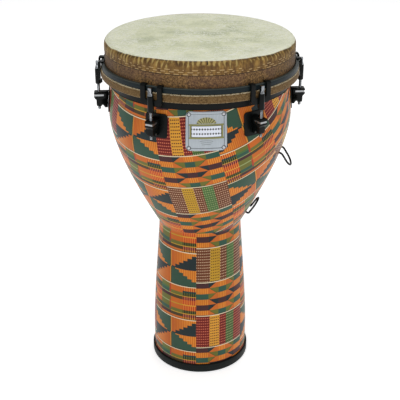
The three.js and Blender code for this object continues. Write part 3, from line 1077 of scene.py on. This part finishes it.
def make_foot_ring(material):
    seat = FOOT_R + GAP
    profile = [(75, 0)]
    profile += arc((RING_R - 2.2, 2.2), 2.2, -90, 0, 4)
    profile += arc((RING_R - 1.5, RING_HEIGHT - 1.5), 1.5, 0, 90, 4)
    profile += [(seat, RING_HEIGHT), (seat, RING_FLOOR)]
    profile += [(75, RING_FLOOR), (74, 3), (74, 1)]
    ring = lathe("foot_ring_rubber", profile, 144)
    dress(ring, material, "drum", "foot_ring")


def make_hoops(black, wrap):
    counter = lathe("counter_hoop_band", rounded_rectangle(*COUNTER_HOOP, HOOP_CORNER), 180)
    dress(counter, black, "tension_hoop", "counter_hoop")
    flesh = lathe("flesh_hoop_wrap", rounded_rectangle(*FLESH_HOOP, 2.0), 180)
    dress(flesh, wrap, "tension_hoop", "flesh_hoop")


def rod_hole(bottom, top):
    """A cutter for the round hole that a rod passes through."""
    profile = [(0, bottom), (ROD_HOLE_R, bottom), (ROD_HOLE_R, top), (0, top)]
    return lathe("bore", profile, 32, axis_y=-ROD_PITCH_R)


def claw_shape():
    """U-shaped plate with two hooks over the hoop, and a barrel on a short heel."""
    back = 165.4
    front = 168.8
    hook = [(back, 545), (front, 545), (front, 569)]
    hook += arc((164.6, 569.6), 4.2, 0, 90, 5)
    hook += [(161.4, 573.8), (159.6, 573.2), (159.1, 572), (159.1, 570.7), (164.6, 570.7), (back, 569.8)]
    arms = [prism("arm", hook, "x", middle - 4, middle + 4) for middle in (-14.5, 14.5)]
    web = arc((-11.5, 547.4), 7, 180, 270, 5)
    web += arc((11.5, 547.4), 7, 270, 360, 5)
    web += [(18.5, 556), (10.5, 556)]
    web += arc((7.5, 552.5), 3, 0, -90, 4)
    web += arc((-7.5, 552.5), 3, -90, -180, 4)
    web += [(-10.5, 556), (-18.5, 556)]
    plate = prism("claw_shape", web, "r", back, front)
    barrel_profile = rounded_rectangle(ROD_HOLE_R, BARREL_R, BARREL_BOTTOM, BARREL_TOP, 0.6, 3)
    barrel = lathe("barrel", barrel_profile, 32, axis_y=-ROD_PITCH_R)
    heel = [(163.3, 532.6), (167.2, 532.6), (167.2, 556), (165.6, 556), (165.6, 539), (163.3, 538)]
    shape = combine(plate, arms + [prism("heel", heel, "x", -2.6, 2.6)], "UNION")
    soften(shape, 0.55)
    combine(shape, [barrel], "UNION")
    combine(shape, [rod_hole(525, 562)], "DIFFERENCE")
    shape.data.set_sharp_from_angle(angle=math.radians(38))
    return shape


def rod_shape():
    """Screw rod: rolled thread, conical collar and square head."""
    seat = BARREL_TOP + GAP
    tip = ROD_BOTTOM + 1
    rows = int((THREAD_TOP - ROD_BOTTOM) / THREAD_PITCH * 5)
    profile = [(0, ROD_BOTTOM), (ROD_R - 0.7, ROD_BOTTOM)]
    profile += [(ROD_R, tip + (THREAD_TOP - tip) * k / rows) for k in range(rows + 1)]
    profile += [(ROD_R, seat), (4.0, seat), (4.4, seat + 0.4), (4.4, seat + 1.0), (4.1, seat + 1.5)]
    profile += [(3.4, seat + 5.0), (2.6, seat + 5.8), (0, seat + 5.8)]
    lengths = path_lengths(profile)
    thread_start = lengths[2]
    thread_end = lengths[rows + 2]

    def thread(azimuth, length):
        if not thread_start <= length <= thread_end:
            return 0.0
        phase = (length / THREAD_PITCH - azimuth / (2 * math.pi)) % 1
        return -THREAD_DEPTH * abs(2 * phase - 1)

    shank = lathe("rod_shape", profile, 20, shift=thread, axis_y=-ROD_PITCH_R, smooth_angle=60)
    half = 2.8
    corners = ((-half, half), (half, half), (half, -half), (-half, -half))
    square = [(x, ROD_PITCH_R + r) for x, r in corners]
    head = soften(prism("head", square, "z", seat + 4.6, seat + 12.6), 0.45)
    return combine(shank, [head], "UNION")


def lug_shape():
    """Cast bracket: top flange, slot for the nut, body and a boss round the rod's end."""
    flange = [(151, 516.6), (151, 503.4), (174.6, 503.4), (178.0, 507.4), (178.2, 509.6)]
    flange += [(161.6, 509.6), (161.6, 513.2), (178.2, 513.2), (178.2, 515.6), (177.2, 517), (151, 517)]
    boss = [(151, 505), (151, 490), (160.6, 489.6), (163.2, 493.8), (165.2, 494.6), (165.9, 492.4)]
    boss += [(174, 492.4), (174.6, 496), (174.6, 505)]
    shape = prism("lug_shape", flange, "x", -6.75, 6.75)
    combine(shape, [prism("boss", boss, "x", -5.2, 5.2)], "UNION")
    soften(shape, 0.6)
    seat = [(radius, height) for radius, height in inset(SURFACE, -2.2) if 470 < height < 530]
    drum = lathe("seat", [(0, 470)] + seat + [(0, 530)], 144)
    return combine(shape, [rod_hole(480, 530), drum], "DIFFERENCE")


def lug_plate_shape():
    front = GAP + PLATE_THICKNESS
    rings = [(0.6, GAP), (0, GAP + 0.4), (0, front - 0.5), (0.35, front - 0.1), (0.9, front)]
    rings += [(inset_by, front) for inset_by in (4, 8, 12, 16)]
    return curved_plate("lug_plate_shape", 19, 19.5, 5, rings, LUG_PLATE_Z)


def place_copy(source, name, azimuth):
    """A copy of a piece made at the badge's azimuth, turned to another."""
    copy = bpy.data.objects.new(name, source.data)
    copy.matrix_world = Matrix.Rotation(math.radians(azimuth), 4, "Z")
    bpy.context.scene.collection.objects.link(copy)
    return copy


def make_stations(paint, chrome):
    """Claw, rod, lug and lug plate at each of the six stations."""
    claw = claw_shape()
    rod = rod_shape()
    lug = lug_shape()
    plate = lug_plate_shape()
    for number, azimuth in enumerate(STATION_AZIMUTHS, start=1):
        pieces = [
            (claw, "claw", paint, "tension_hoop"),
            (rod, "tension_rod", chrome, f"rod_{number}"),
            (lug, "lug", paint, "drum"),
            (plate, "lug_plate", paint, "drum"),
        ]
        for shape, kind, material, body in pieces:
            node = f"{kind}_{number}"
            dress(place_copy(shape, f"{node}_detail", azimuth), material, body, node)
    for shape in (claw, rod, lug, plate):
        bpy.data.objects.remove(shape)


def make_badge(material):
    """Plate with a raised rim round a sunk field."""
    rim = GAP + 1.8
    field = GAP + 1.2
    rings = [(0.5, GAP), (0, GAP + 0.4), (0, rim - 0.4), (0.3, rim - 0.1), (0.8, rim), (3.6, rim)]
    rings += [(4.2, rim - 0.15), (4.7, field)]
    rings += [(inset_by, field) for inset_by in (8, 12, 16, 20, 24, 28)]
    plate = curved_plate("badge_plate", BADGE_HALF, BADGE_HALF, 7, rings, BADGE_Z)
    dress(plate, material, "drum", "badge")


def make_rivets(material):
    """A domed rivet near each corner of the badge."""
    dome = [(0, -0.2), (2.5, -0.2), (2.5, 0.25)] + arc((0, -1.4), 3.0, 33, 90, 5)
    outwards = Matrix.Rotation(math.pi / 2, 4, "X")
    spots = [(x, z) for x in (-RIVET_SPREAD, RIVET_SPREAD) for z in (-RIVET_SPREAD, RIVET_SPREAD)]
    for number, (x, z) in enumerate(spots, start=1):
        height = BADGE_Z + z
        seat = surface_radius(height) + GAP + 1.2
        turn = Matrix.Rotation(x / surface_radius(BADGE_Z), 4, "Z")
        rivet = lathe(f"badge_rivet_{number}_dome", dome, 24)
        rivet.data.transform(turn @ Matrix.Translation(station_vector(0, seat, height)) @ outwards)
        dress(rivet, material, "drum", f"badge_rivet_{number}")


def strap_path(height, lean, rise):
    """Leg, bend, half circle, bend and leg of one strap loop, in metres at the badge's azimuth."""
    slope = (surface_radius(height + 5) - surface_radius(height - 5)) / 10
    outwards = Vector((0, -1, -slope)).normalized()
    along = Vector((0, -math.sin(math.radians(lean)), rise * math.cos(math.radians(lean))))
    foot = Vector((0, -surface_radius(height), height))
    half = STRAP_SPAN / 2
    straight = STRAP_REACH - half
    bend_r = 2.5

    def at(x, out, reach):
        point = foot + outwards * out + along * reach
        return Vector((x, point.y, point.z)) * MM

    leg = [(-14, 0), (-6, 0)]
    for angle in (0, 0.4, 0.8, 1.2, math.pi / 2):
        out = STRAP_STANDOFF - bend_r + bend_r * math.sin(angle)
        leg.append((out, bend_r - bend_r * math.cos(angle)))
    leg += [(STRAP_STANDOFF, straight * 0.6), (STRAP_STANDOFF, straight)]
    left = [at(-half, out, reach) for out, reach in leg]
    right = [at(half, out, reach) for out, reach in reversed(leg)]
    arch = []
    for step in range(1, 16):
        angle = math.pi * step / 16
        reach = straight + half * math.sin(angle)
        arch.append(at(-half * math.cos(angle), STRAP_STANDOFF, reach))
    return left + arch + right


def make_strap_loops(material):
    for name, height, lean, rise in (("upper", 417, 32, -1), ("lower", 300, 33, 1)):
        loop = tube(f"strap_loop_{name}_wire", strap_path(height, lean, rise), STRAP_WIRE)
        loop.data.transform(Matrix.Rotation(math.radians(STRAP_AZIMUTH), 4, "Z"))
        dress(loop, material, "drum", f"strap_loop_{name}")


def dress_cad_nodes(frame, steel):
    """The small hardware whose CAD shape is right keeps it, with a better material."""
    for name, thing in frame["nodes"].items():
        if name.startswith(("lug_nut", "lug_screw", "strap_nut")):
            thing.data.materials.clear()
            thing.data.materials.append(steel)


# ---- camera, floor and light

CAMERA_AZIMUTH = -3.7
CAMERA_DISTANCE = 1450.4  # from the drum's axis, along the floor
CAMERA_HEIGHT = 997.4
CAMERA_PITCH = 25.37  # downwards
CAMERA_LENS = 80.81
SENSOR_WIDTH = 36.0
WORLD_BRIGHTNESS = 0.4
FLOOR_RADIUS = 60.0  # metres
FLOOR_DROP = 0.0005  # metres
FLOOR_GLOW = 0.55

# Name, place, what it is aimed at, size in metres, power.
LIGHTS = [
    ("key", (-0.5, -1.8, 2.4), (0, 0, 0.35), (1.2, 1.2), 16),
    ("fill", (2.0, -1.2, 1.4), (0, 0, 0.3), (1.0, 1.6), 5),
    ("back", (0.4, 2.0, 2.0), (0, 0, 0.4), (1.6, 0.8), 12),
]


def make_camera():
    data = bpy.data.cameras.new("camera")
    data.lens = CAMERA_LENS
    data.sensor_width = SENSOR_WIDTH
    camera = bpy.data.objects.new("camera", data)
    bpy.context.scene.collection.objects.link(camera)
    azimuth = math.radians(CAMERA_AZIMUTH)
    reach = CAMERA_DISTANCE * MM
    camera.location = (reach * math.sin(azimuth), -reach * math.cos(azimuth), CAMERA_HEIGHT * MM)
    camera.rotation_euler = (math.radians(90 - CAMERA_PITCH), 0, azimuth)
    bpy.context.scene.camera = camera


def make_floor():
    """Plain white floor that glows a little, so that it stays white behind the drum."""
    bm = bmesh.new()
    bmesh.ops.create_circle(bm, cap_ends=True, segments=64, radius=FLOOR_RADIUS)
    floor = new_object("floor", bm)
    graph = Graph("floor_paper")
    tone = graph.mix(graph.noise(2, 2) * 0.2, srgb(250, 250, 250), srgb(244, 244, 244))
    white = (1, 1, 1, 1)
    glow = {"Emission_Color": white, "Emission_Strength": FLOOR_GLOW}
    floor.data.materials.append(graph.finish(tone, 0.9, Specular_IOR_Level=0.1, **glow))
    floor.location.z = -FLOOR_DROP


def make_light(name, place, target, size, power):
    data = bpy.data.lights.new(name, "AREA")
    data.shape = "RECTANGLE"
    data.size, data.size_y = size
    data.energy = power
    light = bpy.data.objects.new(name, data)
    light.location = place
    direction = Vector(target) - Vector(place)
    light.rotation_euler = direction.to_track_quat("-Z", "Y").to_euler()
    bpy.context.scene.collection.objects.link(light)


def make_world():
    world = bpy.data.worlds.new("studio")
    world.use_nodes = True
    background = world.node_tree.nodes["Background"]
    background.inputs["Color"].default_value = (1, 1, 1, 1)
    background.inputs["Strength"].default_value = WORLD_BRIGHTNESS
    bpy.context.scene.world = world


def make_studio():
    make_world()
    make_floor()
    for light in LIGHTS:
        make_light(*light)
    bpy.context.scene.view_settings.view_transform = "Standard"


# ---- the scene


def main():
    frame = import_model()
    make_camera()
    make_studio()
    hardware_paint = painted_material("hardware_black", srgb(7, 10, 9), 0.3, 0.13)
    wire_paint = painted_material("wire_black", srgb(12, 13, 13), 0.4, 0.3)
    chrome = metal_material("rod_chrome", srgb(150, 154, 158), 0.12)
    steel = metal_material("zinc_steel", srgb(176, 178, 180), 0.3)
    aluminium = metal_material("rivet_aluminium", srgb(206, 208, 212), 0.3)
    make_head(film_material())
    make_cloth(cloth_material())
    make_shell(shell_material())
    make_foot_ring(rubber_material())
    make_hoops(hoop_material(), wrap_material())
    make_stations(hardware_paint, chrome)
    make_badge(badge_material())
    make_rivets(aluminium)
    make_strap_loops(wire_paint)
    dress_cad_nodes(frame, steel)


main()
